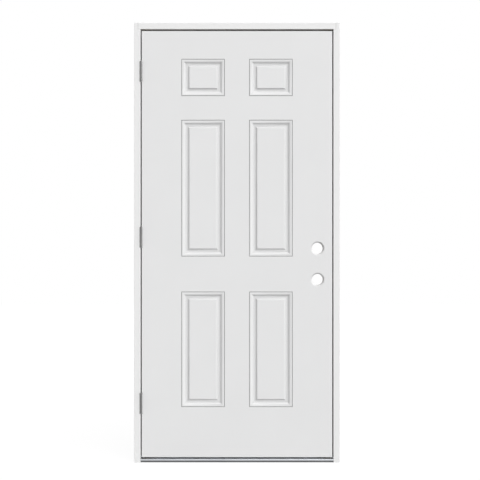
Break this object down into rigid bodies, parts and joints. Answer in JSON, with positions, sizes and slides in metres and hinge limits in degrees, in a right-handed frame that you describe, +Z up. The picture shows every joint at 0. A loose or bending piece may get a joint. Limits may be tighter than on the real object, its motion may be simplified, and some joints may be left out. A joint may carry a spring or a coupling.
{
  "type": "panelled front door",
  "caption": "Outswing steel front door with raised moulded panels and empty lock bores, on butt hinges in a rabbeted frame with weatherstrips and an aluminium threshold.",
  "frame": {"origin": "middle of the sill's underside, halfway through the jambs' depth", "axes": "+Z up, -Y the outside face that the slab opens towards, +X towards the lock side"},
  "size_m": [0.979, 0.1295, 2.0946],
  "materials": {
    "slab_primer": "white baked primer, low sheen",
    "core_foam": "rigid foam",
    "raw_wood": "bare softwood",
    "rail_composite": "grey moulded composite",
    "frame_primer": "wood, white primer",
    "sill_composite": "dark moulded composite",
    "sill_aluminium": "mill finish, drawn along its length",
    "seal_rubber": "dark matt foam with a skin",
    "hinge_steel": "satin plated steel",
    "pin_steel": "satin plated steel",
    "screw_zinc": "bright zinc"
  },
  "bodies": {
    "frame": {"hinge_jamb": "frame_primer", "strike_jamb": "frame_primer", "head_jamb": "frame_primer", "sill_substrate": "sill_composite", "threshold": "sill_aluminium", "threshold_bumper": "seal_rubber", "weatherstrip_hinge_side": "seal_rubber", "weatherstrip_strike_side": "seal_rubber", "weatherstrip_head": "seal_rubber", "top_hinge_frame_leaf": "hinge_steel", "middle_hinge_frame_leaf": "hinge_steel", "bottom_hinge_frame_leaf": "hinge_steel", "top_hinge_pin": "pin_steel", "middle_hinge_pin": "pin_steel", "bottom_hinge_pin": "pin_steel", "top_hinge_frame_screws": "screw_zinc", "middle_hinge_frame_screws": "screw_zinc", "bottom_hinge_frame_screws": "screw_zinc", "head_joint_screws": "screw_zinc", "sill_joint_screws": "screw_zinc"},
    "door": {"outer_skin": "slab_primer", "inner_skin": "slab_primer", "foam_core": "core_foam", "hinge_stile": "raw_wood", "lock_stile": "raw_wood", "lock_block": "raw_wood", "top_rail": "raw_wood", "bottom_rail": "rail_composite", "top_hinge_door_leaf": "hinge_steel", "middle_hinge_door_leaf": "hinge_steel", "bottom_hinge_door_leaf": "hinge_steel", "top_hinge_door_screws": "screw_zinc", "middle_hinge_door_screws": "screw_zinc", "bottom_hinge_door_screws": "screw_zinc"}
  },
  "joints": [
    {"name": "door_swing", "type": "hinge", "parent": "frame", "child": "door", "pos_m": [-0.4567, -0.06525, 0], "axis": [0, 0, -1], "range_deg": [0, 180]}
  ]
}
